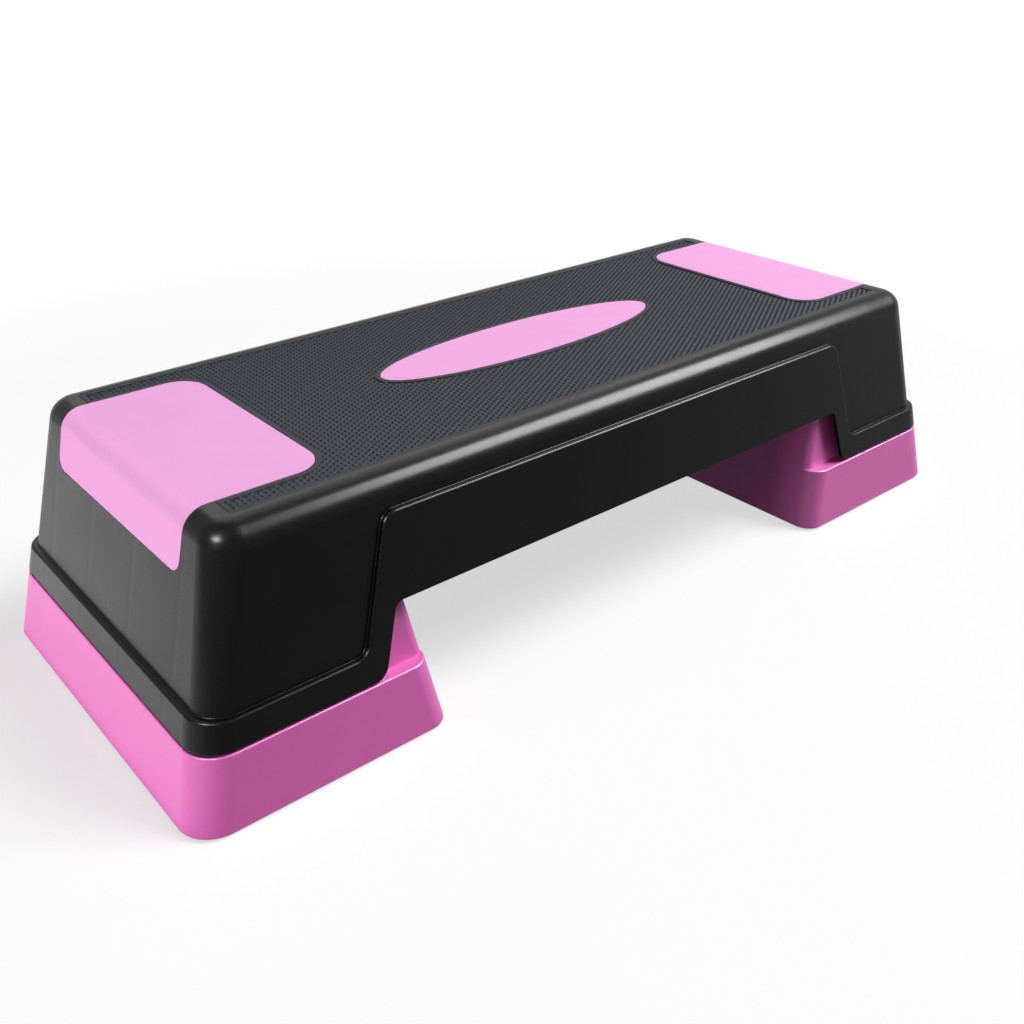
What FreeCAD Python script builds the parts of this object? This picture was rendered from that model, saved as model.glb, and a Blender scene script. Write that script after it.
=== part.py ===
import FreeCAD, Part
import math
import os
import re

import Sketcher

# Aerobic step platform: a hollow deck with a nubbed mat and coloured pads, on two plug-in risers.
# Millimetres, +Z up, X along the platform, origin on the floor under its middle.

os.makedirs("parts", exist_ok=True)
doc = FreeCAD.newDocument("aerobic_step")
Vector = FreeCAD.Vector

# Driving dimensions
SIZES = {
    # Platform: outer skin at the bottom of the rim, and how far the skin leans in per mm of height
    "rim_length": 680,
    "rim_width": 275,
    "rim_corner": 22,
    "end_lean": 0.254,
    "side_lean": 0.116,
    "platform_height": 120.5,
    # Walls that stand back behind the raised skirt
    "recess": 3.8,
    "wall_corner": 19,
    "top_round": 15.5,
    "wall": 2.5,
    "deck_depth": 5,
    # Raised skirt, seen from the front: rim strip, leg band and beam; widths are from the rim's end
    "rim_height": 18.8,
    "ledge_height": 100.5,
    "skirt_foot": 108,
    "skirt_head": 132,
    "skirt_corner_low": 9,
    "skirt_corner_high": 10,
    "ledge_round": 1.8,
    "ledge_cove": 0.5,
    "edge_round": 1.2,
    # Gap under the beam, between the legs; the legs' widths are from the rim's end
    "leg_foot": 118,
    "leg_head": 131.5,
    "gap_height": 45.5,
    "gap_corner": 6,
    "leg_corner": 12,
    # Tread mat
    "mat_margin": 51.5,
    "mat_width": 209.5,
    "mat_corner": 4,
    "mat_thickness": 2,
    "mat_border": 3.5,
    # Nubs of the tread mat, drawn as blocks of so many columns and rows with grooves between them
    "nub_height": 1.1,
    "nub_width": 3.33,
    "nub_tip": 0.35,
    "column_pitch": 3.58,
    "nub_pitch": 4.2,
    "block_columns": 8,
    "block_rows": 7,
    # End pads, each reaching in from the rim's end, and oval inlay
    "pad_reach": 121.7,
    "pad_width": 172,
    "pad_corner": 20,
    "pad_drop": 36,
    "pad_low_corner": 9,
    "pad_thickness": 2.5,
    "inlay_length": 246,
    "inlay_width": 62,
    "inlay_thickness": 2.5,
    "fit_gap": 0.3,
    "seat_gap": 0.2,
    # Stiffening ribs under the deck
    "rib_pitch": 52,
    "rib_row": 31,
    "rib_thickness": 2,
    "rib_height": 12,
    # Fixing pins of the pads and inlay, and their screws
    "pin_diameter": 7,
    "pin_inset": 18,
    "pin_row_spacing": 42,
    "pin_span": 120,
    "inlay_pin_span": 150,
    "tube_wall": 2,
    "tube_margin": 2,
    "shank_diameter": 3,
    "shank_length": 9,
    "shank_gap": 0.05,
    "head_diameter": 6,
    "head_height": 2.2,
    "washer_diameter": 11,
    "washer_thickness": 1,
    # Rubber feet under the rim's corners
    "deck_foot_diameter": 11,
    "deck_foot_head": 2.5,
    "deck_foot_reveal": 1,
    "deck_foot_stem": 6,
    "deck_foot_stem_length": 7,
    "deck_boss_wall": 4,
    "deck_boss_height": 22,
    # Risers
    "riser_height": 47.5,
    "riser_reach": 160,
    "inner_lean": 0.185,
    "riser_corner": 22.5,
    "riser_inner_corner": 14,
    "tower_height": 53,
    "tower_corner": 38,
    "tower_inner_corner": 6,
    "tower_clearance": 0.7,
    "tower_side_clearance": 3.2,
    "tower_round": 5,
    "web_thickness": 2,
    # Rubber feet under the risers
    "foot_diameter": 20,
    "foot_head": 4,
    "foot_reveal": 1.5,
    "foot_stem": 8,
    "foot_stem_length": 7,
    "foot_boss_top": 4,
    "foot_end_inset": 48,
    "foot_inner_inset": 32,
    "foot_chamfer": 0.6,
}

# Places, heights and walls that follow from them
DERIVED = {
    "skirt_half_low": "rim_length / 2 - skirt_foot",
    "skirt_half_high": "rim_length / 2 - skirt_head",
    "gap_half_low": "rim_length / 2 - leg_foot",
    "gap_half_high": "rim_length / 2 - leg_head",
    "mat_length": "rim_length - 2 * mat_margin",
    "block_length": "block_columns * column_pitch",
    "block_width": "block_rows * nub_pitch",
    "groove_top": "2 * column_pitch - nub_tip",
    "groove_floor": "2 * column_pitch - nub_width",
    "pad_inner_edge": "rim_length / 2 - pad_reach",
    "riser_inner_face": "rim_length / 2 - riser_reach",
    "shoulder_z": "foot_reveal + riser_height",
    "rim_z": "shoulder_z + deck_foot_reveal",
    "deck_z": "rim_z + platform_height",
    "deck_under": "deck_z - deck_depth",
    "nub_floor": "deck_z - nub_height",
    "ledge_z": "rim_z + ledge_height",
    "tower_top": "shoulder_z + tower_height",
    "pad_bed": "pad_thickness + seat_gap",
    "end_wall": "wall + pad_bed",
    "tube_end": "deck_under - rib_height - tube_margin",
    "deck_boss": "deck_foot_stem + 2 * deck_boss_wall",
    "deck_boss_z": "rim_z + deck_foot_head - deck_foot_reveal",
    "riser_half_length": "rim_length / 2 + end_lean * (rim_z - foot_reveal)",
    "riser_half_width": "rim_width / 2 + side_lean * (rim_z - foot_reveal)",
    "foot_y": "riser_half_width - side_lean * foot_head - wall - fit_gap - foot_diameter / 2",
    "foot_outer_x": "riser_half_length - foot_end_inset",
    "foot_inner_x": "riser_inner_face + foot_inner_inset",
}

sheet = doc.addObject("Spreadsheet::Sheet", "Sizes")
CELLS = {name: str(size) for name, size in SIZES.items()}
CELLS.update({name: "=" + formula for name, formula in DERIVED.items()})
for row, (name, content) in enumerate(CELLS.items(), start=1):
    sheet.set(f"A{row}", name)
    sheet.set(f"B{row}", content)
    sheet.setAlias(f"B{row}", name)
    doc.recompute()


# Formulas, sketches and features


def bound(formula):
    """The formula with each size in it pointing at its cell."""
    return re.sub(r"[a-z]\w*", lambda word: "Sizes." + word[0] if word[0] in CELLS else word[0], formula)


def value(formula):
    return float(sheet.evalExpression(formula))


def bind(thing, **formulas):
    """Tie properties to formulas; at_x, at_y and at_z tie the placement."""
    for name, formula in formulas.items():
        target = ".Placement.Base." + name[-1] if name.startswith("at_") else name
        thing.setExpression(target, bound(formula))
    return thing


def new_sketch(body, name, plane, offset="0"):
    """A sketch on one of the body's own planes, moved along the plane's normal."""
    sketch = body.newObject("Sketcher::SketchObject", name)
    origin_plane = next(f for f in body.Origin.OriginFeatures if f.Role == plane + "_Plane")
    sketch.AttachmentSupport = [(origin_plane, "")]
    sketch.MapMode = "FlatFace"
    sketch.setExpression(".AttachmentOffset.Base.z", bound(offset))
    return sketch


def fix_point(sketch, geometry, place, x, y):
    """Tie a sketch point to formulas for x and y; "0" puts it on the axis."""
    for kind, axis, formula in (("DistanceX", -2, x), ("DistanceY", -1, y)):
        if formula == "0":
            sketch.addConstraint(Sketcher.Constraint("PointOnObject", geometry, place, axis))
            continue
        distance = Sketcher.Constraint(kind, -1, 1, geometry, place, value(formula))
        index = sketch.addConstraint(distance)
        sketch.setExpression(f"Constraints[{index}]", bound(formula))


def outline(sketch, corners):
    """Closed outline through corners (x, y, radius) given as formulas; radius "" is a sharp corner."""
    count = len(corners)
    points = [Vector(value(x), value(y), 0) for x, y, radius in corners]
    radii = [value(radius) if radius else 0 for x, y, radius in corners]
    ends = []
    for i, point in enumerate(points):
        back = (points[i - 1] - point).normalize()
        ahead = (points[(i + 1) % count] - point).normalize()
        half_angle = back.getAngle(ahead) / 2
        trim = radii[i] / math.tan(half_angle)
        centre = point + (back + ahead).normalize() * (radii[i] / math.sin(half_angle))
        turn = back.x * ahead.y - back.y * ahead.x
        ends.append((point + back * trim, point + ahead * trim, centre, turn < 0))
    lines = []
    for i in range(count):
        start, stop = ends[i][1], ends[(i + 1) % count][0]
        lines.append(sketch.addGeometry(Part.LineSegment(start, stop)))
    for i, (x, y, radius) in enumerate(corners):
        before, after = lines[i - 1], lines[i]
        if not radius:
            sketch.addConstraint(Sketcher.Constraint("Coincident", before, 2, after, 1))
            fix_point(sketch, after, 1, x, y)
            continue
        entry, leave, centre, left_turn = ends[i]
        first, last = (entry, leave) if left_turn else (leave, entry)
        circle = Part.Circle(centre, Vector(0, 0, 1), radii[i])
        arc = sketch.addGeometry(Part.ArcOfCircle(circle, circle.parameter(first), circle.parameter(last)))
        entry_end, leave_end = (1, 2) if left_turn else (2, 1)
        sketch.addConstraint(Sketcher.Constraint("Tangent", before, 2, arc, entry_end))
        sketch.addConstraint(Sketcher.Constraint("Tangent", arc, leave_end, after, 1))
        index = sketch.addConstraint(Sketcher.Constraint("Radius", arc, radii[i]))
        sketch.setExpression(f"Constraints[{index}]", bound(radius))
        corner = sketch.addGeometry(Part.Point(points[i]), True)
        sketch.addConstraint(Sketcher.Constraint("PointOnObject", corner, 1, before))
        sketch.addConstraint(Sketcher.Constraint("PointOnObject", corner, 1, after))
        fix_point(sketch, corner, 1, x, y)


def new_body(name):
    return doc.addObject("PartDesign::Body", name)


def prism(name, plane, offset, corners, length, symmetric=False):
    """Body padded from an outline."""
    body = new_body(name)
    sketch = new_sketch(body, name + "_sketch", plane, offset)
    outline(sketch, corners)
    pad = body.newObject("PartDesign::Pad", name + "_pad")
    pad.Profile = sketch
    if symmetric:
        pad.SideType = "Symmetric"
    bind(pad, Length=length)
    return body


def taper(body, name, z_low, z_high, x_low, x_high, half_y):
    """Four-sided block between two heights; the sides are functions of the height."""
    wedge = body.newObject("PartDesign::AdditiveWedge", name)
    wedge.Placement = FreeCAD.Placement(Vector(), FreeCAD.Rotation(Vector(1, 0, 0), 90))
    bind(wedge, Ymin=z_low, Xmin=x_low(z_low), Xmax=x_high(z_low), Zmin=f"-({half_y(z_low)})", Zmax=half_y(z_low))
    bind(wedge, Ymax=z_high, X2min=x_low(z_high), X2max=x_high(z_high))
    bind(wedge, Z2min=f"-({half_y(z_high)})", Z2max=half_y(z_high))


def round_edges(body, name, radius, wanted):
    """Round those edges of the body for which wanted(edge) is true."""
    doc.recompute()
    base = body.Tip
    edges = [f"Edge{i}" for i, edge in enumerate(base.Shape.Edges, start=1) if wanted(edge)]
    fillet = body.newObject("PartDesign::Fillet", name)
    fillet.Base = (base, edges)
    bind(fillet, Radius=radius)


def level(height):
    """Test for edges that lie in the plane at this height."""
    z = value(height)
    return lambda edge: abs(edge.BoundBox.ZMin - z) < 1e-4 and abs(edge.BoundBox.ZMax - z) < 1e-4


def upright(edge):
    """Test for edges that rise from one section to the next."""
    return edge.BoundBox.ZLength > 1


def spun(name, profile):
    """Body turned about its Z axis from a half profile of (radius, height) formulas."""
    body = new_body(name)
    sketch = new_sketch(body, name + "_sketch", "XZ")
    outline(sketch, [(radius, height, "") for radius, height in profile])
    turned = body.newObject("PartDesign::Revolution", name + "_turned")
    turned.Profile = sketch
    turned.ReferenceAxis = (sketch, ["V_Axis"])
    turned.Angle = 360
    return body


def cylinder(name, diameter, x, y, z_low, z_high):
    rod = doc.addObject("Part::Cylinder", name)
    return bind(rod, Radius=f"({diameter}) / 2", Height=f"{z_high} - ({z_low})", at_x=x, at_y=y, at_z=z_low)


def box(name, x_low, x_high, y_low, y_high, z_low, z_high):
    block = doc.addObject("Part::Box", name)
    bind(block, Length=f"{x_high} - ({x_low})", Width=f"{y_high} - ({y_low})", Height=f"{z_high} - ({z_low})")
    return bind(block, at_x=x_low, at_y=y_low, at_z=z_low)


def fuse(name, parts):
    joined = doc.addObject("Part::MultiFuse", name)
    joined.Shapes = parts
    return joined


def cut(name, base, tools):
    result = doc.addObject("Part::Cut", name)
    result.Base = base
    result.Tool = tools[0] if len(tools) == 1 else fuse(name + "_tools", tools)
    return result


def common(name, first, second):
    result = doc.addObject("Part::Common", name)
    result.Base = first
    result.Tool = second
    return result


def mirrored(name, source):
    """Copy on the other side of the platform's middle plane."""
    copy = doc.addObject("Part::Mirroring", name)
    copy.Source = source
    copy.Normal = (1, 0, 0)
    return copy


# Outer skin of the platform and risers: half length and half width at a height


def skin_x(height, inset="0"):
    return f"rim_length / 2 - end_lean * ({height} - rim_z) - ({inset})"


def skin_y(height, inset="0"):
    return f"rim_width / 2 - side_lean * ({height} - rim_z) - ({inset})"


def skin_block(name, z_low, z_high, end_inset, side_inset, corner):
    """Block inside the leaning skin, with rounded upright corners."""
    body = new_body(name)
    taper(
        body, name + "_taper", z_low, z_high,
        x_low=lambda z: f"-({skin_x(z, end_inset)})",
        x_high=lambda z: skin_x(z, end_inset),
        half_y=lambda z: skin_y(z, side_inset),
    )
    round_edges(body, name + "_corners", corner, upright)
    return body


def cut_to_skirt(body, name, inset):
    """Cut a block down to the rim strip, leg bands and beam of the raised skirt, seen from the front."""
    far = "rim_length"
    strip_z = f"rim_z + rim_height - ({inset})"
    beam_z = f"ledge_z - ({inset})"
    low_x = f"skirt_half_low - ({inset})"
    high_x = f"skirt_half_high - ({inset})"
    sketch = new_sketch(body, name + "_ledge", "XZ")
    outline(sketch, [
        (f"-{far}", strip_z, ""),
        (f"-({low_x})", strip_z, "skirt_corner_low"),
        (f"-({high_x})", beam_z, "skirt_corner_high"),
        (high_x, beam_z, "skirt_corner_high"),
        (low_x, strip_z, "skirt_corner_low"),
        (far, strip_z, ""),
        (far, "deck_z + rim_height", ""),
        (f"-{far}", "deck_z + rim_height", ""),
    ])
    pocket = body.newObject("PartDesign::Pocket", name + "_cut")
    pocket.Profile = sketch
    pocket.SideType = "Symmetric"
    bind(pocket, Length="2 * rim_width")


def on_ledge(edge):
    """Test for the skirt's outer ledge edges, without those that cross it from front to back."""
    frame = edge.BoundBox
    reach = max(abs(frame.XMin), abs(frame.XMax))
    crosses = frame.YLength > value("rim_width / 2") and reach < value("(skirt_half_low + rim_length / 2) / 2")
    return frame.ZMin > value("rim_z + rim_height") - 1e-3 and not crosses


def is_hollow(shape, edge):
    """Test for an inside corner between the two faces that meet at an edge."""
    faces = shape.ancestorsOfType(edge, Part.Face)
    middle = edge.valueAt((edge.FirstParameter + edge.LastParameter) / 2)
    normals = [face.normalAt(*face.Surface.parameter(middle)) for face in faces]
    if len(normals) < 2 or normals[0].getAngle(normals[1]) < 0.2:
        return False
    return shape.isInside(middle + (normals[0] - normals[1]) * 0.05, 1e-4, False)


# Deck shell: the outside


walls = skin_block("walls", "rim_z + rim_height / 2", "deck_z", "recess", "recess", "wall_corner")
round_edges(walls, "walls_top", "top_round", level("deck_z"))
skirt = skin_block("skirt", "rim_z", "deck_z", "0", "0", "rim_corner")
cut_to_skirt(skirt, "skirt", "0")
round_edges(skirt, "skirt_ledge_round", "ledge_round", on_ledge)
round_edges(skirt, "skirt_rim_round", "edge_round", level("rim_z"))
body_sharp = fuse("body_sharp", [walls, skirt])
doc.recompute()
body_outside = doc.addObject("Part::Fillet", "body_outside")
body_outside.Base = body_sharp
cove = value("ledge_cove")
coved = [i for i, edge in enumerate(body_sharp.Shape.Edges, start=1) if is_hollow(body_sharp.Shape, edge)]
body_outside.Edges = [(i, cove, cove) for i in coved]

# Deck shell: the hollow, less the ribs, screw tubes and foot bosses that stand in it

below_rim = "rim_z - 2 * wall"
wall_hollow = skin_block(
    "wall_hollow", "rim_z - wall", "deck_under", "recess + end_wall", "recess + wall", "wall_corner - wall"
)
round_edges(wall_hollow, "wall_hollow_top", "top_round - deck_depth", level("deck_under"))
skirt_hollow = skin_block("skirt_hollow", below_rim, "deck_z", "wall", "wall", "rim_corner - wall")
cut_to_skirt(skirt_hollow, "skirt_hollow", "wall")

rib_low = "deck_under - rib_height"
ribs = []
for side in ("-", ""):
    row = f"{side}rib_row"
    ribs.append(box(
        f"long_rib_{len(ribs)}", "-rim_length / 2", "rim_length / 2",
        f"{row} - rib_thickness / 2", f"{row} + rib_thickness / 2", rib_low, "deck_z",
    ))
rib_count = int(value("pad_inner_edge / rib_pitch")) + 1
for number in range(-rib_count, rib_count + 1):
    place = f"{number} * rib_pitch"
    ribs.append(box(
        f"cross_rib_{number + rib_count}", f"{place} - rib_thickness / 2", f"{place} + rib_thickness / 2",
        "-rim_width / 2", "rim_width / 2", rib_low, "deck_z",
    ))

# Places of the fixing pins (x, y): four under each end pad, two under the inlay
PAD_PINS = [
    (f"-(pad_inner_edge + pin_inset + {row} * pin_row_spacing)", f"{side}pin_span / 2")
    for row in (0, 1) for side in ("-", "")
]
INLAY_PINS = [("-inlay_pin_span / 2", "0"), ("inlay_pin_span / 2", "0")]
RIGHT_PAD_PINS = [(f"-({x})", y) for x, y in PAD_PINS]
tubes = []
pin_holes = []
for number, (x, y) in enumerate(PAD_PINS + RIGHT_PAD_PINS + INLAY_PINS):
    tube = cylinder(
        f"screw_tube_{number}", "pin_diameter + 2 * fit_gap + 2 * tube_wall", x, y, "tube_end", "deck_z"
    )
    tubes.append(tube)
    pin_holes.append(cylinder(
        f"pin_hole_{number}", "pin_diameter + 2 * fit_gap", x, y, "tube_end - tube_margin", "deck_z"
    ))

# The bosses of the deck feet stand in the rounded corners of the rim
corner_step = "(rim_corner - wall - deck_boss / 2) * sqrt(0.5)"
deck_foot_x = f"rim_length / 2 - rim_corner + {corner_step}"
deck_foot_y = f"rim_width / 2 - rim_corner + {corner_step}"
DECK_FEET = [
    (f"{x_side}({deck_foot_x})", f"{y_side}({deck_foot_y})") for x_side in ("-", "") for y_side in ("-", "")
]
bosses = []
stem_holes = []
for number, (x, y) in enumerate(DECK_FEET):
    bosses.append(cylinder(
        f"deck_boss_{number}", "deck_boss", x, y, "deck_boss_z", "deck_boss_z + deck_boss_height"
    ))
    stem_holes.append(cylinder(
        f"deck_stem_hole_{number}", "deck_foot_stem + 2 * shank_gap", x, y,
        "deck_boss_z - wall", "deck_boss_z + deck_foot_stem_length + fit_gap",
    ))
deck_hollow = cut("deck_hollow", fuse("deck_hollow_full", [wall_hollow, skirt_hollow]), ribs + tubes + bosses)

# Gap under the beam, open to both long sides and below

gap_far = "gap_half_low + leg_corner * 3"
gap = prism("gap", "XZ", "0", [
    (f"-({gap_far})", below_rim, ""),
    (gap_far, below_rim, ""),
    (gap_far, "rim_z", ""),
    ("gap_half_low", "rim_z", "leg_corner"),
    ("gap_half_high", "rim_z + gap_height", "gap_corner"),
    ("-gap_half_high", "rim_z + gap_height", "gap_corner"),
    ("-gap_half_low", "rim_z", "leg_corner"),
    (f"-({gap_far})", "rim_z", ""),
], "2 * rim_width", symmetric=True)

# Beds for the pads, mat and inlay


def pad_prism(name, grow):
    """Outline of the left end pad, grown by a gap, as a block from above its lower edge."""
    low = f"deck_z - pad_drop - ({grow})"
    edge = f"-(pad_inner_edge - ({grow}))"
    side = f"pad_width / 2 + ({grow})"
    corner = f"pad_corner + ({grow})"
    end = "-rim_length / 2"
    body = prism(name, "XY", low, [
        (end, f"-({side})", ""),
        (edge, f"-({side})", corner),
        (edge, side, corner),
        (end, side, ""),
    ], f"deck_z + rim_height - ({low})")
    floor = level(low)
    long = value("pad_inner_edge") / 4
    round_edges(body, name + "_low", f"pad_low_corner + ({grow})", lambda e: floor(e) and long < e.BoundBox.XLength)
    return body


def pad_core(name, depth):
    """The wall block shrunk by a depth, with its edges rounded alike."""
    body = skin_block(
        name, "rim_z + rim_height", f"deck_z - ({depth})", f"recess + {depth}", f"recess + {depth}",
        f"wall_corner - ({depth})",
    )
    round_edges(body, name + "_top", f"top_round - ({depth})", level(f"deck_z - ({depth})"))
    return body


def oval(name, grow, z_low, z_high):
    """Upright block with the inlay's outline, grown by a gap."""
    ring = doc.addObject("Part::Ellipse", name + "_outline")
    bind(ring, MajorRadius=f"inlay_length / 2 + {grow}", MinorRadius=f"inlay_width / 2 + {grow}", at_z=z_low)
    block = doc.addObject("Part::Extrusion", name)
    block.Base = ring
    block.DirMode = "Custom"
    block.Dir = (0, 0, 1)
    block.Solid = True
    return bind(block, LengthFwd=f"{z_high} - ({z_low})")


def mat_plate(name, grow, z_low, z_high):
    half_x = f"mat_length / 2 + {grow}"
    half_y = f"mat_width / 2 + {grow}"
    corner = f"mat_corner + {grow}"
    return prism(name, "XY", z_low, [
        (f"-({half_x})", f"-({half_y})", corner),
        (half_x, f"-({half_y})", corner),
        (half_x, half_y, corner),
        (f"-({half_x})", half_y, corner),
    ], f"{z_high} - ({z_low})")


above = "deck_z + rim_height"
pad_opening = pad_prism("pad_opening", "fit_gap")
pad_opening_right = mirrored("pad_opening_right", pad_opening)
left_bed = cut("left_bed", pad_opening, [pad_core("bed_core", "pad_bed")])
right_bed = mirrored("right_bed", left_bed)
mat_bed = mat_plate("mat_bed", "fit_gap", "deck_z - mat_thickness", above)
inlay_bed = oval("inlay_bed", "fit_gap", "deck_z - inlay_thickness", above)
deck_shell = cut(
    "deck_shell", body_outside,
    [deck_hollow, gap, left_bed, right_bed, mat_bed, inlay_bed] + pin_holes + stem_holes,
)

# Tread mat: plate with openings for the pads and inlay, and a field of nub blocks inside its border

mat_hole = oval("mat_hole", "fit_gap", "deck_under", above)
field_notch = pad_prism("field_notch", "fit_gap + mat_border")
nub_field = cut(
    "nub_field", mat_plate("field_plate", "-mat_border", "deck_under", above),
    [field_notch, mirrored("field_notch_right", field_notch),
     oval("field_hole", "fit_gap + mat_border", "deck_under", above)],
)


def nub_groove(name, plane, place, length):
    """A groove between two rows of nub blocks, with the slope of the nubs' sides."""
    return prism(
        name, plane, "0",
        [(f"{place} - groove_floor / 2", "nub_floor", ""), (f"{place} + groove_floor / 2", "nub_floor", ""),
         (f"{place} + groove_top / 2", "deck_z", ""), (f"{place} + groove_top / 2", above, ""),
         (f"{place} - groove_top / 2", above, ""), (f"{place} - groove_top / 2", "deck_z", "")],
        length, symmetric=True,
    )


def nub_grooves(name, plane, reach, pitch, length):
    """Grooves at every pitch, as far as the reach of the field has room for them."""
    count = int(value(f"({reach} - mat_border - groove_top / 2) / {pitch} + 0.5"))
    return [
        nub_groove(f"{name}_{number + count + 1}", plane, f"{number + 0.5} * {pitch}", length)
        for number in range(-count, count)
    ]


across = nub_grooves("groove_across", "XZ", "mat_length / 2", "block_length", "mat_width")
along = nub_grooves("groove_along", "YZ", "mat_width / 2", "block_width", "mat_length")
field_grooves = common("field_grooves", nub_field, fuse("groove_grid", across + along))
tread_mat = cut(
    "tread_mat", mat_plate("mat_plate", "0", "deck_z - mat_thickness", "deck_z"),
    [pad_opening, pad_opening_right, mat_hole, field_grooves],
)

# End pads and inlay, each with pins for its screws


def with_pins(name, plate, pins, root):
    """A plate with fixing pins down into the screw tubes, bored for the screws."""
    rods = []
    bores = []
    for number, (x, y) in enumerate(pins):
        rods.append(cylinder(f"{name}_pin_{number}", "pin_diameter", x, y, "tube_end + seat_gap", root))
        bores.append(cylinder(
            f"{name}_bore_{number}", "shank_diameter + 2 * shank_gap", x, y,
            "tube_end - tube_margin", "tube_end + shank_length + fit_gap",
        ))
    return cut(name, fuse(name + "_solid", [plate] + rods), bores)


pad_blank = common("pad_blank", walls, pad_prism("pad_outline", "0"))
pad_plate = cut("pad_plate", pad_blank, [pad_core("pad_core", "pad_thickness")])
end_pad_left = with_pins("end_pad_left", pad_plate, PAD_PINS, "deck_z - pad_thickness / 2")
end_pad_right = mirrored("end_pad_right", end_pad_left)
inlay_plate = oval("inlay_plate", "0", "deck_z - inlay_thickness", "deck_z")
centre_inlay = with_pins("centre_inlay", inlay_plate, INLAY_PINS, "deck_z - inlay_thickness / 2")


def screws(name, pins):
    """Washer-head screws driven up into the pins, as one group of solids."""
    drop = "washer_thickness + head_height"
    group = []
    for number, (x, y) in enumerate(pins):
        screw = spun(f"{name}_{number}", [
            ("0", f"-({drop})"),
            ("head_diameter / 2", f"-({drop})"),
            ("head_diameter / 2", "-washer_thickness"),
            ("washer_diameter / 2", "-washer_thickness"),
            ("washer_diameter / 2", "0"),
            ("shank_diameter / 2", "0"),
            ("shank_diameter / 2", "shank_length - shank_diameter / 2"),
            ("0", "shank_length"),
        ])
        group.append(bind(screw, at_x=x, at_y=y, at_z="tube_end"))
    joined = doc.addObject("Part::Compound", name)
    joined.Links = group
    return joined


end_pad_left_screws = screws("end_pad_left_screws", PAD_PINS)
end_pad_right_screws = screws("end_pad_right_screws", RIGHT_PAD_PINS)
centre_inlay_screws = screws("centre_inlay_screws", INLAY_PINS)

# Risers: a base that carries the outer skin on down, and a tower that stands inside the leg


def inner_face(inset):
    """The riser's face towards the platform's middle, as a function of the height."""
    return lambda z: f"-(riser_inner_face + inner_lean * ({z} - foot_reveal) + ({inset}))"


def riser_block(name, z_low, z_high, end_inset, side_inset, face_inset, corner, inner_corner):
    """Block of the left riser, inset from the skin and from the riser's inner face."""
    body = new_body(name)
    taper(
        body, name + "_taper", z_low, z_high,
        x_low=lambda z: f"-({skin_x(z, end_inset)})",
        x_high=inner_face(face_inset),
        half_y=lambda z: skin_y(z, side_inset),
    )
    middle = -value("riser_inner_face + rim_length / 2") / 2
    round_edges(body, name + "_corners", corner, lambda e: upright(e) and e.BoundBox.XMax < middle)
    round_edges(body, name + "_inner_corners", inner_corner, lambda e: upright(e) and e.BoundBox.XMin > middle)
    return body


tower_end = "recess + end_wall + tower_clearance"
tower_side = "recess + wall + tower_side_clearance"
below_riser = "foot_reveal - wall"
base = riser_block("base", "foot_reveal", "shoulder_z", "0", "0", "0", "riser_corner", "riser_inner_corner")
round_edges(base, "base_shoulder", "edge_round", level("shoulder_z"))
round_edges(base, "base_bottom", "edge_round", level("foot_reveal"))
tower = riser_block(
    "tower", "shoulder_z - riser_height / 2", "tower_top", tower_end, tower_side, "0",
    "tower_corner", "tower_inner_corner",
)
round_edges(tower, "tower_top_round", "tower_round", level("tower_top"))
base_hollow = riser_block(
    "base_hollow", below_riser, "shoulder_z - wall", "wall", "wall", "wall",
    "riser_corner - wall", "riser_inner_corner - wall",
)
tower_hollow = riser_block(
    "tower_hollow", "foot_reveal", "tower_top - wall", f"{tower_end} + wall", f"{tower_side} + wall", "wall",
    "tower_corner - wall", "tower_inner_corner - wall",
)

RISER_FEET = [
    (f"-{x}", f"{side}foot_y") for x in ("foot_outer_x", "foot_inner_x") for side in ("-", "")
]
boss_top = "foot_head + foot_stem_length + foot_boss_top"
foot_bosses = []
foot_holes = []
for number, (x, y) in enumerate(RISER_FEET):
    foot_bosses.append(cylinder(f"foot_boss_{number}", "foot_diameter", x, y, "foot_head", boss_top))
    foot_holes.append(cylinder(
        f"foot_hole_{number}", "foot_stem + 2 * shank_gap", x, y, "0", "foot_head + foot_stem_length + fit_gap"
    ))
webs = []
for place in ("foot_outer_x", "foot_inner_x"):
    webs.append(box(
        f"web_at_{place}", f"-{place} - web_thickness / 2", f"-{place} + web_thickness / 2",
        "-riser_half_width", "riser_half_width", "foot_head + foot_stem_length", "tower_top",
    ))
riser_hollow = cut("riser_hollow", fuse("riser_hollow_full", [base_hollow, tower_hollow]), webs + foot_bosses)
riser_left = cut("riser_left", fuse("riser_solid", [base, tower]), [riser_hollow] + foot_holes)
riser_right = mirrored("riser_right", riser_left)


def plug_foot(name, diameter, head, stem, stem_length, x, y, z):
    """Rubber foot with a stem that plugs into a boss above it."""
    foot = spun(name, [
        ("0", "0"),
        (f"{diameter} / 2 - foot_chamfer", "0"),
        (f"{diameter} / 2", "foot_chamfer"),
        (f"{diameter} / 2", head),
        (f"{stem} / 2", head),
        (f"{stem} / 2", f"{head} + {stem_length}"),
        ("0", f"{head} + {stem_length}"),
    ])
    return bind(foot, at_x=x, at_y=y, at_z=z)


NODES = [
    deck_shell, tread_mat, end_pad_left, end_pad_right, centre_inlay, riser_left, riser_right,
    end_pad_left_screws, end_pad_right_screws, centre_inlay_screws,
]
for number, (x, y) in enumerate(RISER_FEET, start=1):
    sizes = ("foot_diameter", "foot_head", "foot_stem", "foot_stem_length")
    NODES.append(plug_foot(f"riser_left_foot_{number}", *sizes, x, y, "0"))
    NODES.append(plug_foot(f"riser_right_foot_{number}", *sizes, f"-({x})", y, "0"))
for number, (x, y) in enumerate(DECK_FEET, start=1):
    sizes = ("deck_foot_diameter", "deck_foot_head", "deck_foot_stem", "deck_foot_stem_length")
    NODES.append(plug_foot(f"deck_foot_{number}", *sizes, x, y, "shoulder_z"))

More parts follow.
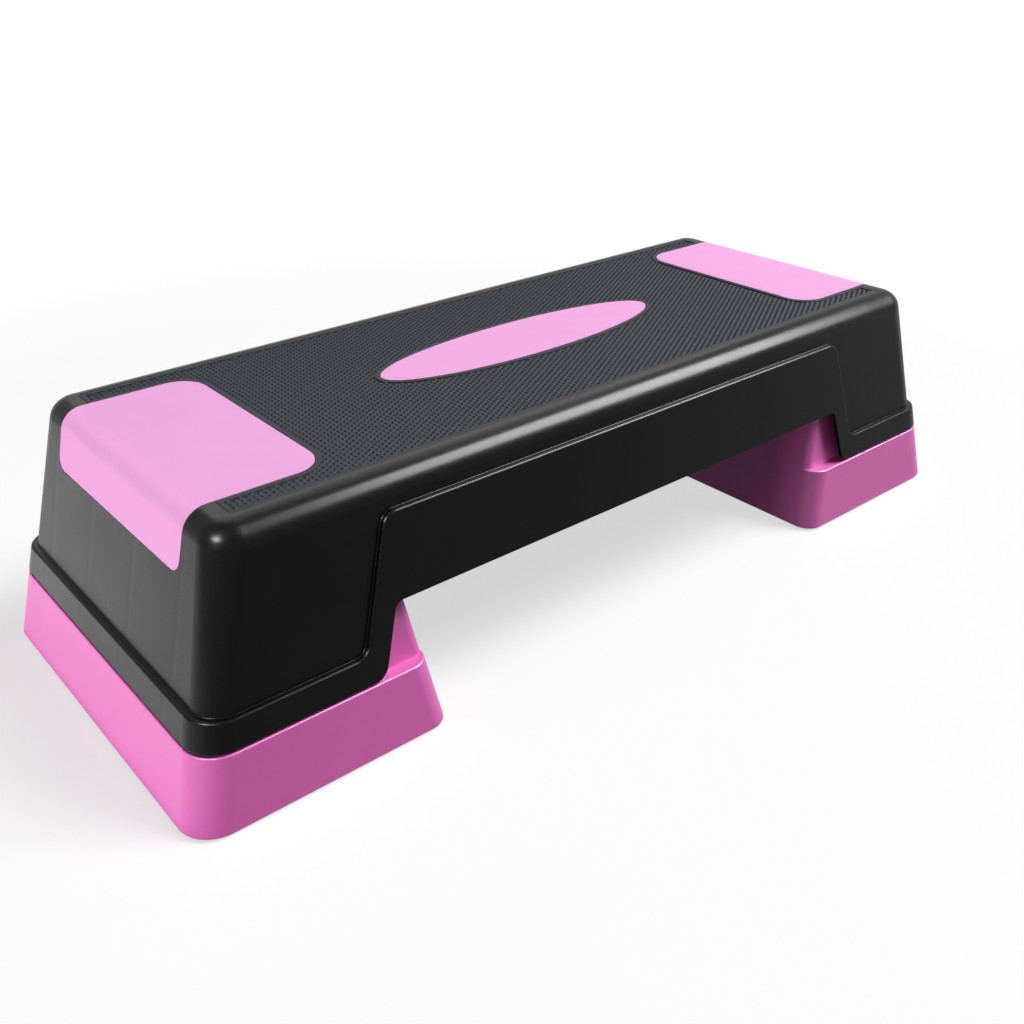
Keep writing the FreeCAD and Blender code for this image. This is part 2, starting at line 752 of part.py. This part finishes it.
# Check every object and write one file for each node

doc.recompute()
for thing in doc.Objects:
    if "Invalid" in thing.State or "Error" in thing.State:
        raise RuntimeError(f"{thing.Name} did not build: {thing.State}")
for node in NODES:
    node.Label = node.Name
    shape = node.Shape
    if shape.isNull() or not shape.isValid():
        raise RuntimeError(f"{node.Label} has no valid shape")
    shape.exportStep(f"parts/{node.Label}.step")
    print(f"{node.Label}: {len(shape.Solids)} solid(s), {shape.Volume / 1000:.1f} cm3")
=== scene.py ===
"""Looks of an aerobic step platform: finishes for its pieces, a nubbed tread mat and a stage."""

import math
from typing import NamedTuple

import bmesh
import bpy
from bpy.props import FloatProperty, FloatVectorProperty, PointerProperty
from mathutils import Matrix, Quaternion, Vector


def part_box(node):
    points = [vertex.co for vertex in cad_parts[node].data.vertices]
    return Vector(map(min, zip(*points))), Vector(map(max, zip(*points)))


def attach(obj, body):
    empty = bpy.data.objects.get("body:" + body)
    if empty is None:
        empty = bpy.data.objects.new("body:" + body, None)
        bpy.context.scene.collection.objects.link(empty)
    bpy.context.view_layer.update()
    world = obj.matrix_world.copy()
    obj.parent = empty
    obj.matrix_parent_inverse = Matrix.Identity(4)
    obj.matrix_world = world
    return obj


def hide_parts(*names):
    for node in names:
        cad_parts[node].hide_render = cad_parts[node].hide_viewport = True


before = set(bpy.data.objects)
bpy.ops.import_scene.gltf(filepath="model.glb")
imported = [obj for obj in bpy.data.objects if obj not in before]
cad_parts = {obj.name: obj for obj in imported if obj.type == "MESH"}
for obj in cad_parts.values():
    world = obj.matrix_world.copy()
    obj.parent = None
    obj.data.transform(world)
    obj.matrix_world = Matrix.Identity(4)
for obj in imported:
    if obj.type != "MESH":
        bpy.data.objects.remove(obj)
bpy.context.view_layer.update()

bl_info = {
    "name": "Aerobic step platform",
    "version": (1, 0, 0),
    "blender": (4, 5, 0),
    "location": "3D View > Sidebar > Step platform",
    "description": "Finishes, tread mat and studio stage of an aerobic step platform",
    "category": "Object",
}

MM = 0.001
POLYPROPYLENE_IOR = 1.49
RUBBER_IOR = 1.5
# Width of the camera's frame in millimetres
FRAME_WIDTH = 36

PADS = ("end_pad_left", "end_pad_right", "centre_inlay")
RISERS = ("riser_left", "riser_right")
SCREW_GROUPS = ("end_pad_left_screws", "end_pad_right_screws", "centre_inlay_screws")
FEET = tuple(sorted(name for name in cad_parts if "_foot_" in name))


def linear(hex_colour):
    """Linear red, green and blue of an sRGB colour such as "#C6C8CB"."""
    channels = [int(hex_colour[i:i + 2], 16) / 255 for i in (1, 3, 5)]
    return tuple(c / 12.92 if c <= 0.04045 else ((c + 0.055) / 1.055) ** 2.4 for c in channels)


def grey(level):
    """A grey of a linear level, with its alpha."""
    return (level, level, level, 1)


# Settings


def length(name, description, millimetres):
    """A length that is set in millimetres and kept in metres."""
    return FloatProperty(
        name=name, description=description, default=millimetres * MM, min=0, precision=5,
        unit="LENGTH", subtype="DISTANCE",
    )


def colour(name, description, hex_colour):
    """A colour that is set in sRGB and kept linear."""
    return FloatVectorProperty(
        name=name, description=description, default=linear(hex_colour), min=0, max=1,
        subtype="COLOR",
    )


def point(name, description, place):
    """A point in metres."""
    return FloatVectorProperty(
        name=name, description=description, default=place, precision=5,
        unit="LENGTH", subtype="TRANSLATION",
    )


class StepTreadSettings(bpy.types.PropertyGroup):
    """Sizes of the tread mat's border and nubs."""

    border: length("Border", "Smooth border round the nub field", 3.5)
    edge_round: length("Edge", "Chamfer along the border's edges", 0.3)
    corner: length("Corner", "Rounding of the mat's outer corners", 4)
    pad_corner: length("Pad corner", "Rounding of the mat round the end pads' inner corners", 20.3)
    fit_gap: length("Gap", "Gap between the mat and the pads", 0.3)
    column_pitch: length("Column pitch", "Distance from one column of nubs to the next", 3.58)
    nub_pitch: length("Nub pitch", "Distance between nubs in one column", 4.2)
    groove: length("Groove", "Flat groove left between neighbouring nubs", 0.25)
    nub_height: length("Nub height", "Height of the nubs above the floor of their field", 1.1)
    nub_tip: length("Nub tip", "Width of a nub's blunt tip", 0.35)


class StepFinishSettings(bpy.types.PropertyGroup):
    """Colours of the pieces."""

    shell: colour("Shell", "Polished black of the deck shell", "#0B0B0C")
    mat: colour("Mat", "Dull black of the tread mat", "#3B3E44")
    # The pads and the risers are one pink plastic. The pads' pink is painted paler, standing for
    # painted light from above and a painted pale sheen, and the risers' pink is deeper, standing
    # for painted shade on their sides.
    pads: colour("Pads", "Pink of the end pads and oval inlay", "#FBB1EA")
    risers: colour("Risers", "Pink of the risers", "#E466BB")
    rubber: colour("Feet", "Black of the rubber feet", "#151515")
    zinc: colour("Screws", "Zinc plate of the screws", "#C6C8CB")


class StepStageSettings(bpy.types.PropertyGroup):
    """Camera and level of the studio light."""

    eye: point("Camera", "Place of the camera", (-0.49837, -0.58417, 0.44618))
    aim: point("Aim", "Point that the camera looks at", (-0.04958, -0.04540, 0.06176))
    roll: FloatProperty(
        name="Roll", description="Turn of the camera about its view line", default=-0.00599,
        subtype="ANGLE",
    )
    lens: FloatProperty(
        name="Lens", description="Focal length for a 36 mm frame", default=38.943, min=1,
        subtype="DISTANCE_CAMERA",
    )
    ambient: FloatProperty(
        name="Ambient", description="Even light from all round", default=0.05, min=0,
        subtype="FACTOR",
    )
    lamp_level: FloatProperty(
        name="Lamps", description="Level of all the lamps together", default=1.0, min=0,
    )


# Nodes and materials


def add_node(tree, kind, inputs=None, **settings):
    """Add a node, set its properties, and fill or link its inputs."""
    node = tree.nodes.new(kind)
    for name, value in settings.items():
        setattr(node, name, value)
    for socket, value in (inputs or {}).items():
        if isinstance(value, bpy.types.NodeSocket):
            tree.links.new(value, node.inputs[socket])
        else:
            node.inputs[socket].default_value = value
    return node


def new_material(name):
    """An empty node material, and the coordinates of the piece in metres."""
    material = bpy.data.materials.new(name)
    material.use_nodes = True
    tree = material.node_tree
    tree.nodes.clear()
    return material, tree, add_node(tree, "ShaderNodeTexCoord")


def noise(tree, coordinates, size, detail):
    """Noise from 0 to 1, with features of a size, that stays with the piece."""
    return add_node(tree, "ShaderNodeTexNoise", {
        "Vector": coordinates.outputs["Object"], "Scale": 1 / size, "Detail": detail,
    }).outputs["Fac"]


def between(tree, value, low, high):
    """A value from 0 to 1, brought between two levels."""
    return add_node(tree, "ShaderNodeMapRange", {
        "Value": value, "To Min": low, "To Max": high,
    }).outputs["Result"]


def mottled(tree, pattern, tint, depth):
    """A tint that a pattern makes darker and lighter by a share of itself."""
    darker = (*[c * (1 - depth) for c in tint], 1)
    lighter = (*[min(1, c * (1 + depth)) for c in tint], 1)
    return add_node(tree, "ShaderNodeMix", {
        "Factor": pattern, "A": darker, "B": lighter,
    }, data_type="RGBA").outputs["Result"]


def add_surface(tree, inputs):
    """The shader of a material, led to its output."""
    shader = add_node(tree, "ShaderNodeBsdfPrincipled", inputs)
    add_node(tree, "ShaderNodeOutputMaterial", {"Surface": shader.outputs["BSDF"]})


def polished_polypropylene(finish):
    """Polypropylene, injection moulded in a polished tool: deep black, with a soft gloss that
    follows the slow flow of the melt, and shallow sink lines on the end walls where ribs stand
    behind them."""
    material, tree, coordinates = new_material("polypropylene_moulded_polished")
    flow_size = 45 * MM
    peel_size = 1.6 * MM
    peel_depth = 0.02 * MM
    rib_spacing = 60 * MM
    sink_width = 5 * MM
    sink_depth = 0.05 * MM
    # Share of a face's direction that points endwards, where the sink lines begin and are full
    sink_begins, sink_full = 0.8, 0.95
    roughness = add_node(tree, "ShaderNodeMapRange", {
        "Value": noise(tree, coordinates, flow_size, 3),
        "From Min": 0.3, "From Max": 0.7, "To Min": 0.25, "To Max": 0.31,
    })
    peel = add_node(tree, "ShaderNodeBump", {
        "Height": noise(tree, coordinates, peel_size, 2), "Strength": 0.25, "Distance": peel_depth,
    })
    # Sink lines run up the end walls, one behind each rib row and pad side
    across = add_node(tree, "ShaderNodeSeparateXYZ", {"Vector": coordinates.outputs["Object"]})
    row = add_node(tree, "ShaderNodeMath", {
        0: across.outputs["Y"], 1: rib_spacing / 2,
    }, operation="PINGPONG")
    height = add_node(tree, "ShaderNodeMapRange", {
        "Value": row.outputs["Value"],
        "From Min": rib_spacing / 2 - sink_width, "From Max": rib_spacing / 2,
        "To Min": 1, "To Max": 0,
    }, interpolation_type="SMOOTHSTEP")
    facing = add_node(tree, "ShaderNodeSeparateXYZ", {"Vector": coordinates.outputs["Normal"]})
    endward = add_node(tree, "ShaderNodeMath", {0: facing.outputs["X"]}, operation="ABSOLUTE")
    on_end = add_node(tree, "ShaderNodeMapRange", {
        "Value": endward.outputs["Value"], "From Min": sink_begins, "From Max": sink_full,
    })
    sink = add_node(tree, "ShaderNodeBump", {
        "Height": height.outputs["Result"], "Strength": on_end.outputs["Result"],
        "Distance": sink_depth, "Normal": peel.outputs["Normal"],
    })
    add_surface(tree, {
        "Base Color": (*finish.shell, 1), "IOR": POLYPROPYLENE_IOR, "Specular IOR Level": 0.1,
        "Roughness": roughness.outputs["Result"], "Normal": sink.outputs["Normal"],
    })
    return material


def moulded_rubber(name, tint, grit_size, roughness_low, roughness_high):
    """Thermoplastic rubber, moulded in a bead-blasted tool: dull and nearly without gloss, a
    little greyer in patches where it has been rubbed."""
    material, tree, coordinates = new_material(name)
    patch_size = 30 * MM
    patch_depth = 0.1
    grit_depth = 0.05 * MM
    patches = noise(tree, coordinates, patch_size, 4)
    grit = add_node(tree, "ShaderNodeBump", {
        "Height": noise(tree, coordinates, grit_size, 2), "Strength": 0.4, "Distance": grit_depth,
    })
    add_surface(tree, {
        "Base Color": mottled(tree, patches, tint, patch_depth),
        "IOR": RUBBER_IOR, "Specular IOR Level": 0.06,
        "Roughness": between(tree, patches, roughness_low, roughness_high),
        "Normal": grit.outputs["Normal"],
    })
    return material


def grained_polypropylene(name, tint, gloss, roughness_low, roughness_high):
    """Polypropylene, moulded in a spark-eroded tool: a clear pink under a fine even grain, which
    leaves the pads matt and the risers with a soft sheen, and a faint mottle where the colour
    mixed unevenly."""
    material, tree, coordinates = new_material(name)
    mottle_size = 25 * MM
    mottle_depth = 0.03
    # The real grain is about 0.1 mm, too fine to show, so it is drawn coarser
    grain_size = 0.7 * MM
    grain_depth = 0.03 * MM
    mottle = noise(tree, coordinates, mottle_size, 4)
    grain = noise(tree, coordinates, grain_size, 3)
    bump = add_node(tree, "ShaderNodeBump", {
        "Height": grain, "Strength": 0.35, "Distance": grain_depth,
    })
    add_surface(tree, {
        "Base Color": mottled(tree, mottle, tint, mottle_depth),
        "IOR": POLYPROPYLENE_IOR, "Specular IOR Level": gloss,
        "Roughness": between(tree, grain, roughness_low, roughness_high),
        "Normal": bump.outputs["Normal"],
    })
    return material


def zinc_plated_steel(finish):
    """Steel, turned and bright zinc plated: a cool grey metal with a fine turned grain that blurs
    its gloss."""
    material, tree, coordinates = new_material("steel_zinc_plated")
    grain_size = 0.4 * MM
    grain = noise(tree, coordinates, grain_size, 2)
    add_surface(tree, {
        "Base Color": (*finish.zinc, 1), "Metallic": 1,
        "Roughness": between(tree, grain, 0.24, 0.38),
    })
    return material


def give_finish(names, material):
    """Set the finish of CAD nodes."""
    for name in names:
        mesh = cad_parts[name].data
        mesh.materials.clear()
        mesh.materials.append(material)


# Meshes


def rounded_outline(corners, steps=10):
    """Points of a closed outline through corners (x, y, radius), each rounding cut into steps."""
    points = []
    for i, (x, y, radius) in enumerate(corners):
        corner = Vector((x, y))
        back = (Vector(corners[i - 1][:2]) - corner).normalized()
        ahead = (Vector(corners[(i + 1) % len(corners)][:2]) - corner).normalized()
        half_angle = back.angle(ahead) / 2
        centre = corner + (back + ahead).normalized() * radius / math.sin(half_angle)
        start = corner + back * radius / math.tan(half_angle) - centre
        stop = corner + ahead * radius / math.tan(half_angle) - centre
        for step in range(steps + 1):
            arm = start.lerp(stop, step / steps)
            points.append(centre + arm.normalized() * radius)
    return points


def oval_outline(half_length, half_width, steps=160):
    """Points of an oval, evenly turned round its middle."""
    turns = [2 * math.pi * step / steps for step in range(steps)]
    return [Vector((half_length * math.cos(turn), half_width * math.sin(turn))) for turn in turns]


def add_loop(mesh, outline, z):
    """Vertices of an outline at a height."""
    return [mesh.verts.new((place.x, place.y, z)) for place in outline]


def join_loops(mesh, first, second):
    """Band of faces between two loops with the same number of points."""
    for i in range(len(first)):
        mesh.faces.new((first[i - 1], first[i], second[i], second[i - 1]))


def fill_between(mesh, outer, inner):
    """Flat faces between an outline and the hole in it."""
    edges = []
    for loop in (outer, inner):
        for i in range(len(loop)):
            ends = (loop[i - 1], loop[i])
            edges.append(mesh.edges.get(ends) or mesh.edges.new(ends))
    bmesh.ops.triangle_fill(mesh, edges=edges, use_beauty=True)


def inside(place, outline):
    """True if a point lies inside a closed outline."""
    crossings = 0
    for i in range(len(outline)):
        a, b = outline[i - 1], outline[i]
        if (a.y > place.y) != (b.y > place.y):
            crossings += place.x < a.x + (b.x - a.x) * (place.y - a.y) / (b.y - a.y)
    return crossings % 2 == 1


def new_piece(name, mesh, material, body):
    """A mesh piece that rides on a body."""
    bmesh.ops.recalc_face_normals(mesh, faces=mesh.faces)
    data = bpy.data.meshes.new(name)
    mesh.to_mesh(data)
    mesh.free()
    data.materials.append(material)
    piece = bpy.data.objects.new(name, data)
    bpy.context.scene.collection.objects.link(piece)
    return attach(piece, body)


def mat_outline(tread, inset):
    """The mat's outline, notched at both ends for the pads, moved in by a distance."""
    _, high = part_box("tread_mat")
    _, pad_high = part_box("end_pad_left")
    end = high.x - inset
    side = high.y - inset
    notch_x = -pad_high.x - tread.fit_gap - inset
    notch_y = pad_high.y + tread.fit_gap + inset
    outer = max(tread.corner - inset, tread.edge_round)
    inner = tread.pad_corner + inset
    sharp = tread.edge_round
    quarter = [(end, -side, outer), (end, -notch_y, sharp), (notch_x, -notch_y, inner)]
    half = quarter + [(x, -y, radius) for x, y, radius in reversed(quarter)]
    return rounded_outline(half + [(-x, -y, radius) for x, y, radius in half])


def inlay_outline(tread, grow):
    """The mat's hole round the oval inlay, grown by a distance."""
    _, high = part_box("centre_inlay")
    return oval_outline(high.x + tread.fit_gap + grow, high.y + tread.fit_gap + grow)


def add_nubs(mesh, tread, field, hole, floor):
    """Columns of blunt pyramids, each column shifted by half a nub from the one beside it."""
    half_x = (tread.column_pitch - tread.groove) / 2
    half_y = (tread.nub_pitch - tread.groove) / 2
    tip = tread.nub_tip / 2
    # The nubs start a little below the floor, so that no gap shows under them
    sunk = floor - tread.groove / 2
    top = floor + tread.nub_height
    columns = int(max(place.x for place in field) / tread.column_pitch) + 1
    rows = int(max(place.y for place in field) / tread.nub_pitch) + 1
    signs = ((-1, -1), (1, -1), (1, 1), (-1, 1))
    for column in range(-columns, columns + 1):
        for row in range(-rows, rows + 1):
            x = column * tread.column_pitch
            y = (row + (column % 2) / 2) * tread.nub_pitch
            if not inside(Vector((x, y)), field) or inside(Vector((x, y)), hole):
                continue
            foot = [mesh.verts.new((x + i * half_x, y + j * half_y, sunk)) for i, j in signs]
            crown = [mesh.verts.new((x + i * tip, y + j * tip, top)) for i, j in signs]
            join_loops(mesh, foot, crown)
            mesh.faces.new(crown)
            mesh.faces.new(reversed(foot))


# Stage


class Lamp(NamedTuple):
    """A softbox: its place and aim, its width and height in metres, its power in watts, its turn
    about its own axis, whether it shows in gloss, whether it lights the colours, and the angle
    that its light spreads over."""

    place: tuple
    aim: tuple
    width: float
    height: float
    power: float
    roll: float = 0
    in_gloss: bool = True
    on_colour: bool = True
    spread: float = math.pi


LAMPS = {
    # Lights the left end, and the nubs from the side
    "left_softbox": Lamp(
        place=(-2.20, 0.10, 0.17), aim=(-0.34, 0.0, 0.10), width=0.9, height=0.33, power=32,
        in_gloss=False,
    ),
    # Pale sheen on the left end wall
    "floor_card": Lamp(
        place=(-0.66, 0.30, 0.004), aim=(-0.66, 0.30, 1.0), width=0.52, height=1.0, power=2.05,
        on_colour=False,
    ),
    # Pale sheen on the end of the left riser
    "riser_card": Lamp(
        place=(-0.385, 0.05, 0.003), aim=(-0.385, 0.05, 1.0), width=0.06, height=0.5, power=0.08,
        on_colour=False,
    ),
    # Bright spot on the near corner
    "corner_gloss": Lamp(
        place=(-0.70, -0.22, 0.47), aim=(-0.31, -0.12, 0.16), width=0.34, height=0.34, power=1.2,
        on_colour=False, spread=0.5,
    ),
    # Main light, from high on the right
    "key_softbox": Lamp(
        place=(4.20, -2.90, 6.30), aim=(0.0, -0.1, 0.12), width=4.0, height=3.5, power=730,
        in_gloss=False,
    ),
    # Streak along the front edge
    "key_gloss": Lamp(
        place=(0.87, -0.70, 1.15), aim=(0.0, -0.1, 0.15), width=0.90, height=0.85, power=125,
        roll=math.radians(-40), on_colour=False,
    ),
    # Faint sheen on the deck, from behind
    "back_gloss": Lamp(
        place=(0.70, 1.20, 1.90), aim=(0.0, 0.0, 0.15), width=2.4, height=1.8, power=38,
        on_colour=False,
    ),
}


def turn_to(item, place, aim, roll):
    """Put a lamp or camera at a place, turned to look at a point."""
    look = (Vector(aim) - Vector(place)).to_track_quat("-Z", "Y")
    item.location = place
    item.rotation_mode = "QUATERNION"
    item.rotation_quaternion = look @ Quaternion((0, 0, 1), roll)


def seen_directly(tree):
    """1 for the rays that show the background: to the camera, in gloss and through glass."""
    path = add_node(tree, "ShaderNodeLightPath")
    either = add_node(tree, "ShaderNodeMath", {
        0: path.outputs["Is Camera Ray"], 1: path.outputs["Is Glossy Ray"],
    }, operation="MAXIMUM")
    return add_node(tree, "ShaderNodeMath", {
        0: either.outputs["Value"], 1: path.outputs["Is Transmission Ray"],
    }, operation="MAXIMUM").outputs["Value"]


def matt_paper():
    """White paper that glows a little: nearly white near the object, where the shadow is kept,
    and full white away from it."""
    material, tree, coordinates = new_material("floor_matt_paper")
    paper_shown = 0.35
    # Little light comes back up from the paper, so the undersides stay dark
    paper_bounce = 0.1
    shadow_reach = 0.6
    white_reach = 1.6
    near_glow = 0.65
    path = add_node(tree, "ShaderNodeLightPath")
    tone = add_node(tree, "ShaderNodeMix", {
        "Factor": path.outputs["Is Camera Ray"], "A": grey(paper_bounce), "B": grey(paper_shown),
    }, data_type="RGBA")
    paper = add_node(tree, "ShaderNodeBsdfDiffuse", {"Color": tone.outputs["Result"]})
    distance = add_node(tree, "ShaderNodeVectorMath", {
        0: coordinates.outputs["Object"],
    }, operation="LENGTH")
    white = add_node(tree, "ShaderNodeMapRange", {
        "Value": distance.outputs["Value"], "From Min": shadow_reach, "From Max": white_reach,
        "To Min": near_glow, "To Max": 1,
    }, interpolation_type="SMOOTHSTEP")
    level = add_node(tree, "ShaderNodeMath", {
        0: seen_directly(tree), 1: white.outputs["Result"],
    }, operation="MULTIPLY")
    glow = add_node(tree, "ShaderNodeEmission", {"Strength": level.outputs["Value"]})
    both = add_node(tree, "ShaderNodeAddShader", {
        0: paper.outputs["BSDF"], 1: glow.outputs["Emission"],
    })
    add_node(tree, "ShaderNodeOutputMaterial", {"Surface": both.outputs["Shader"]})
    return material


def make_floor(scene):
    """Wide paper floor under the object."""
    half = 15
    corners = [(-half, -half, 0), (half, -half, 0), (half, half, 0), (-half, half, 0)]
    mesh = bpy.data.meshes.new("floor")
    mesh.from_pydata(corners, [], [(0, 1, 2, 3)])
    mesh.materials.append(matt_paper())
    floor = bpy.data.objects.new("floor", mesh)
    scene.collection.objects.link(floor)


def make_world(scene, ambient):
    """White surroundings that light the object at the ambient level."""
    world = bpy.data.worlds.new("studio")
    world.use_nodes = True
    tree = world.node_tree
    tree.nodes.clear()
    sky = add_node(tree, "ShaderNodeBackground", {
        "Color": grey(1), "Strength": between(tree, seen_directly(tree), ambient, 1),
    })
    add_node(tree, "ShaderNodeOutputWorld", {"Surface": sky.outputs["Background"]})
    scene.world = world


def make_lamp(scene, name, lamp, level):
    """A softbox that the camera doesn't see."""
    light = bpy.data.lights.new(name, "AREA")
    light.shape = "RECTANGLE"
    light.size = lamp.width
    light.size_y = lamp.height
    light.energy = lamp.power * level
    light.spread = lamp.spread
    softbox = bpy.data.objects.new(name, light)
    turn_to(softbox, lamp.place, lamp.aim, lamp.roll)
    softbox.visible_camera = False
    softbox.visible_glossy = lamp.in_gloss
    softbox.visible_diffuse = lamp.on_colour
    scene.collection.objects.link(softbox)


def make_camera(scene, stage):
    """The camera, as the photo was taken."""
    camera = bpy.data.cameras.new("camera")
    camera.sensor_width = FRAME_WIDTH
    camera.lens = stage.lens
    camera.clip_start = 10 * MM
    viewer = bpy.data.objects.new("camera", camera)
    turn_to(viewer, stage.eye, stage.aim, stage.roll)
    scene.collection.objects.link(viewer)
    scene.camera = viewer


# Operators


class STEP_OT_deck_shell(bpy.types.Operator):
    """Give the deck shell its polished black"""

    bl_idname = "step.deck_shell"
    bl_label = "Deck shell"

    def execute(self, context):
        give_finish(["deck_shell"], polished_polypropylene(context.scene.step_finish))
        return {"FINISHED"}


class STEP_OT_tread_mat(bpy.types.Operator):
    """Build the tread mat with its border and field of nubs"""

    bl_idname = "step.tread_mat"
    bl_label = "Tread mat"

    def execute(self, context):
        tread = context.scene.step_tread
        low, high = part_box("tread_mat")
        top = high.z
        floor = top - tread.nub_height
        edge = tread.edge_round
        border = tread.border
        # Section of the border, from its outer foot over the top to the floor of the field
        section = (
            (0, low.z), (0, top - edge), (edge, top),
            (border - edge, top), (border, top - edge), (border, floor),
        )
        mesh = bmesh.new()
        outer = [add_loop(mesh, mat_outline(tread, inset), z) for inset, z in section]
        ring = [add_loop(mesh, inlay_outline(tread, grow), z) for grow, z in reversed(section)]
        for loops in (outer, ring):
            for first, second in zip(loops, loops[1:]):
                join_loops(mesh, first, second)
        fill_between(mesh, outer[-1], ring[0])
        fill_between(mesh, outer[0], ring[-1])
        add_nubs(mesh, tread, mat_outline(tread, border), inlay_outline(tread, border), floor)
        rubber = moulded_rubber(
            "rubber_moulded_mat", context.scene.step_finish.mat,
            grit_size=0.5 * MM, roughness_low=0.62, roughness_high=0.74,
        )
        mat = new_piece("tread_mat_nubbed", mesh, rubber, "platform")
        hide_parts("tread_mat")
        return {"FINISHED"}


class STEP_OT_pink_pieces(bpy.types.Operator):
    """Give the end pads, the oval inlay and the risers their grained pink"""

    bl_idname = "step.pink_pieces"
    bl_label = "Pads, inlay and risers"

    def execute(self, context):
        finish = context.scene.step_finish
        # One pink plastic in two copies: the pads' tint is painted paler as painted light from
        # above, the risers' tint deeper as painted shade
        give_finish(PADS, grained_polypropylene(
            "polypropylene_pads_grained_painted_lit", finish.pads,
            gloss=0.12, roughness_low=0.8, roughness_high=0.9,
        ))
        give_finish(RISERS, grained_polypropylene(
            "polypropylene_risers_grained_painted_shade", finish.risers,
            gloss=0.55, roughness_low=0.38, roughness_high=0.48,
        ))
        return {"FINISHED"}


class STEP_OT_feet(bpy.types.Operator):
    """Give the rubber feet their dull black"""

    bl_idname = "step.feet"
    bl_label = "Rubber feet"

    def execute(self, context):
        give_finish(FEET, moulded_rubber(
            "rubber_moulded_feet", context.scene.step_finish.rubber,
            grit_size=0.8 * MM, roughness_low=0.6, roughness_high=0.7,
        ))
        return {"FINISHED"}


class STEP_OT_screws(bpy.types.Operator):
    """Give the fixing screws their zinc plate"""

    bl_idname = "step.screws"
    bl_label = "Fixing screws"

    def execute(self, context):
        give_finish(SCREW_GROUPS, zinc_plated_steel(context.scene.step_finish))
        return {"FINISHED"}


class STEP_OT_stage(bpy.types.Operator):
    """Set up the floor, the studio light and the camera"""

    bl_idname = "step.stage"
    bl_label = "Stage"

    def execute(self, context):
        scene = context.scene
        stage = scene.step_stage
        scene.view_settings.view_transform = "Standard"
        make_floor(scene)
        make_world(scene, stage.ambient)
        for name, lamp in LAMPS.items():
            make_lamp(scene, name, lamp, stage.lamp_level)
        make_camera(scene, stage)
        return {"FINISHED"}


OPERATORS = (
    STEP_OT_deck_shell, STEP_OT_tread_mat, STEP_OT_pink_pieces,
    STEP_OT_feet, STEP_OT_screws, STEP_OT_stage,
)
SETTINGS = {
    "step_tread": StepTreadSettings,
    "step_finish": StepFinishSettings,
    "step_stage": StepStageSettings,
}


class STEP_PT_panel(bpy.types.Panel):
    """Settings and building steps of the step platform"""

    bl_idname = "STEP_PT_panel"
    bl_label = "Aerobic step platform"
    bl_space_type = "VIEW_3D"
    bl_region_type = "UI"
    bl_category = "Step platform"

    def draw(self, context):
        for name, group in SETTINGS.items():
            box = self.layout.box()
            for setting in group.__annotations__:
                box.prop(getattr(context.scene, name), setting)
        for operator in OPERATORS:
            self.layout.operator(operator.bl_idname)


def register():
    for kind in (*SETTINGS.values(), *OPERATORS, STEP_PT_panel):
        bpy.utils.register_class(kind)
    for name, group in SETTINGS.items():
        setattr(bpy.types.Scene, name, PointerProperty(type=group))


def unregister():
    for name in SETTINGS:
        delattr(bpy.types.Scene, name)
    for kind in reversed((*SETTINGS.values(), *OPERATORS, STEP_PT_panel)):
        bpy.utils.unregister_class(kind)


def main():
    register()
    bpy.ops.step.deck_shell()
    bpy.ops.step.tread_mat()
    bpy.ops.step.pink_pieces()
    bpy.ops.step.feet()
    bpy.ops.step.screws()
    bpy.ops.step.stage()


if __name__ == "__main__":
    main()
